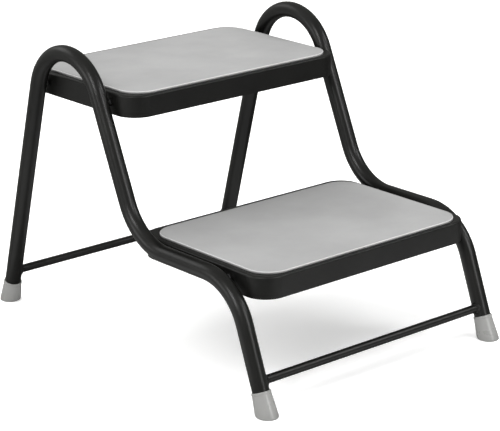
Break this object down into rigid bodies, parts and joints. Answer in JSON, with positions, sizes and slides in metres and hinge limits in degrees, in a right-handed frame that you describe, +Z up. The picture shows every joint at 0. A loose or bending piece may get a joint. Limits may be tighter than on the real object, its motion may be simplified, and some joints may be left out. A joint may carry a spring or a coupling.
{
  "type": "two-tread step stool",
  "caption": "Low rigid step stool: two pressed steel treads with grey rubber mats on a bent round-tube frame with side hand hoops and rubber feet.",
  "frame": {"origin": "on the floor, under the middle of the four feet's footprint", "axes": "+Z up, the front (lower tread) faces -Y, +X is the right-hand side seen from the front"},
  "size_m": [0.4762, 0.6596, 0.4474],
  "materials": {
    "frame_paint": "satin black powder coat on steel tube",
    "tread_paint": "satin black powder coat on pressed sheet steel",
    "mat_rubber": "light grey matt anti-slip rubber sheet",
    "foot_rubber": "light grey smooth moulded rubber",
    "zinc_steel": "bright zinc-plated steel",
    "spacer_plastic": "matt black moulded nylon"
  },
  "bodies": {
    "root": {"front_crossbar": "frame_paint", "front_left_foot": "foot_rubber", "front_left_foot_disc": "zinc_steel", "front_left_weld": "frame_paint", "front_right_foot": "foot_rubber", "front_right_foot_disc": "zinc_steel", "front_right_weld": "frame_paint", "left_side_tube": "frame_paint", "lower_tread_mat": "mat_rubber", "lower_tread_pan": "tread_paint", "lower_tread_rib": "tread_paint", "lower_tread_rivet_nuts": "zinc_steel", "lower_tread_screws": "zinc_steel", "lower_tread_spacers": "spacer_plastic", "lower_tread_washers": "zinc_steel", "rear_crossbar": "frame_paint", "rear_left_foot": "foot_rubber", "rear_left_foot_disc": "zinc_steel", "rear_left_weld": "frame_paint", "rear_right_foot": "foot_rubber", "rear_right_foot_disc": "zinc_steel", "rear_right_weld": "frame_paint", "right_side_tube": "frame_paint", "upper_tread_mat": "mat_rubber", "upper_tread_pan": "tread_paint", "upper_tread_rib": "tread_paint", "upper_tread_rivet_nuts": "zinc_steel", "upper_tread_screws": "zinc_steel", "upper_tread_spacers": "spacer_plastic", "upper_tread_washers": "zinc_steel"}
  },
  "joints": []
}
